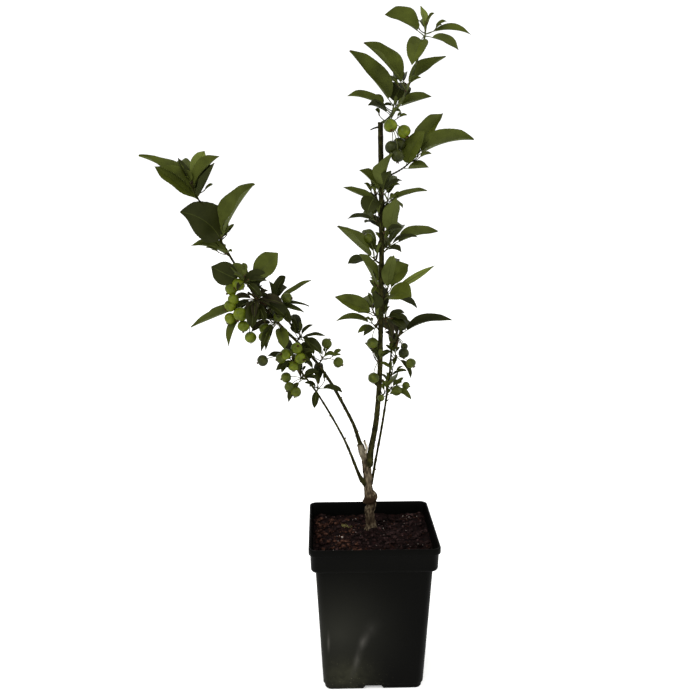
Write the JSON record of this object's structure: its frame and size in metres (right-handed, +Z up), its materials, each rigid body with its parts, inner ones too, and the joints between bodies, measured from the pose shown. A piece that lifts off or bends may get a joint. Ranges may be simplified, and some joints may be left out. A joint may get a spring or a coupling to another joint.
{
  "type": "potted crab apple tree",
  "caption": "Young crab apple tree in leaf and small green fruit, four slender stems from a short trunk, in a square black plastic pot filled with bark compost.",
  "frame": {"origin": "on the ground, in the middle of the flat underside of the pot", "axes": "+Z up along the pot and trunk, -Y towards the front, +X to the right seen from the front"},
  "size_m": [0.4306, 0.1816, 0.9329],
  "materials": {
    "pot_plastic": "black moulded plastic, slightly dusty and scuffed",
    "compost": "rough dark red-brown bark compost with white grains",
    "old_bark": "rough grey-brown bark",
    "young_bark": "smooth dark olive bark",
    "foliage": "satin green leaf, paler underneath",
    "fruit": "satin yellow-green skin"
  },
  "bodies": {
    "root": {"pot": "pot_plastic", "soil": "compost", "trunk": "old_bark", "leader": "young_bark", "left_bough": "young_bark", "low_stem": "young_bark", "right_stem": "young_bark", "top_shoot": "young_bark", "shoot_foot": "foliage", "shoot_fruit": "fruit", "shoot_middle": "foliage", "shoot_tip": "foliage", "leader_spur_1": "foliage", "leader_spur_2": "foliage", "leader_spur_3": "foliage", "leader_spur_4": "foliage", "leader_spur_5": "foliage", "leader_spur_6": "foliage", "leader_spur_7": "foliage", "leader_spur_8": "foliage", "leader_spur_9": "foliage", "leader_spur_10": "foliage", "leader_spur_11": "foliage", "leader_spur_12": "foliage", "leader_spur_13": "foliage", "leader_spur_14": "foliage", "leader_spur_15": "fruit", "right_stem_tip": "foliage", "right_stem_spur_1": "foliage", "right_stem_spur_2": "foliage", "right_stem_spur_3": "foliage", "left_bough_tip": "foliage", "left_bough_spur_1": "foliage", "left_bough_spur_2": "foliage", "left_bough_spur_3": "foliage", "left_bough_spur_4": "foliage", "left_bough_spur_5": "foliage", "left_bough_spur_6": "foliage", "left_bough_spur_7": "foliage", "left_bough_spur_8": "foliage", "low_stem_tip": "foliage", "low_stem_spur_1": "foliage", "low_stem_spur_2": "foliage"}
  },
  "joints": []
}
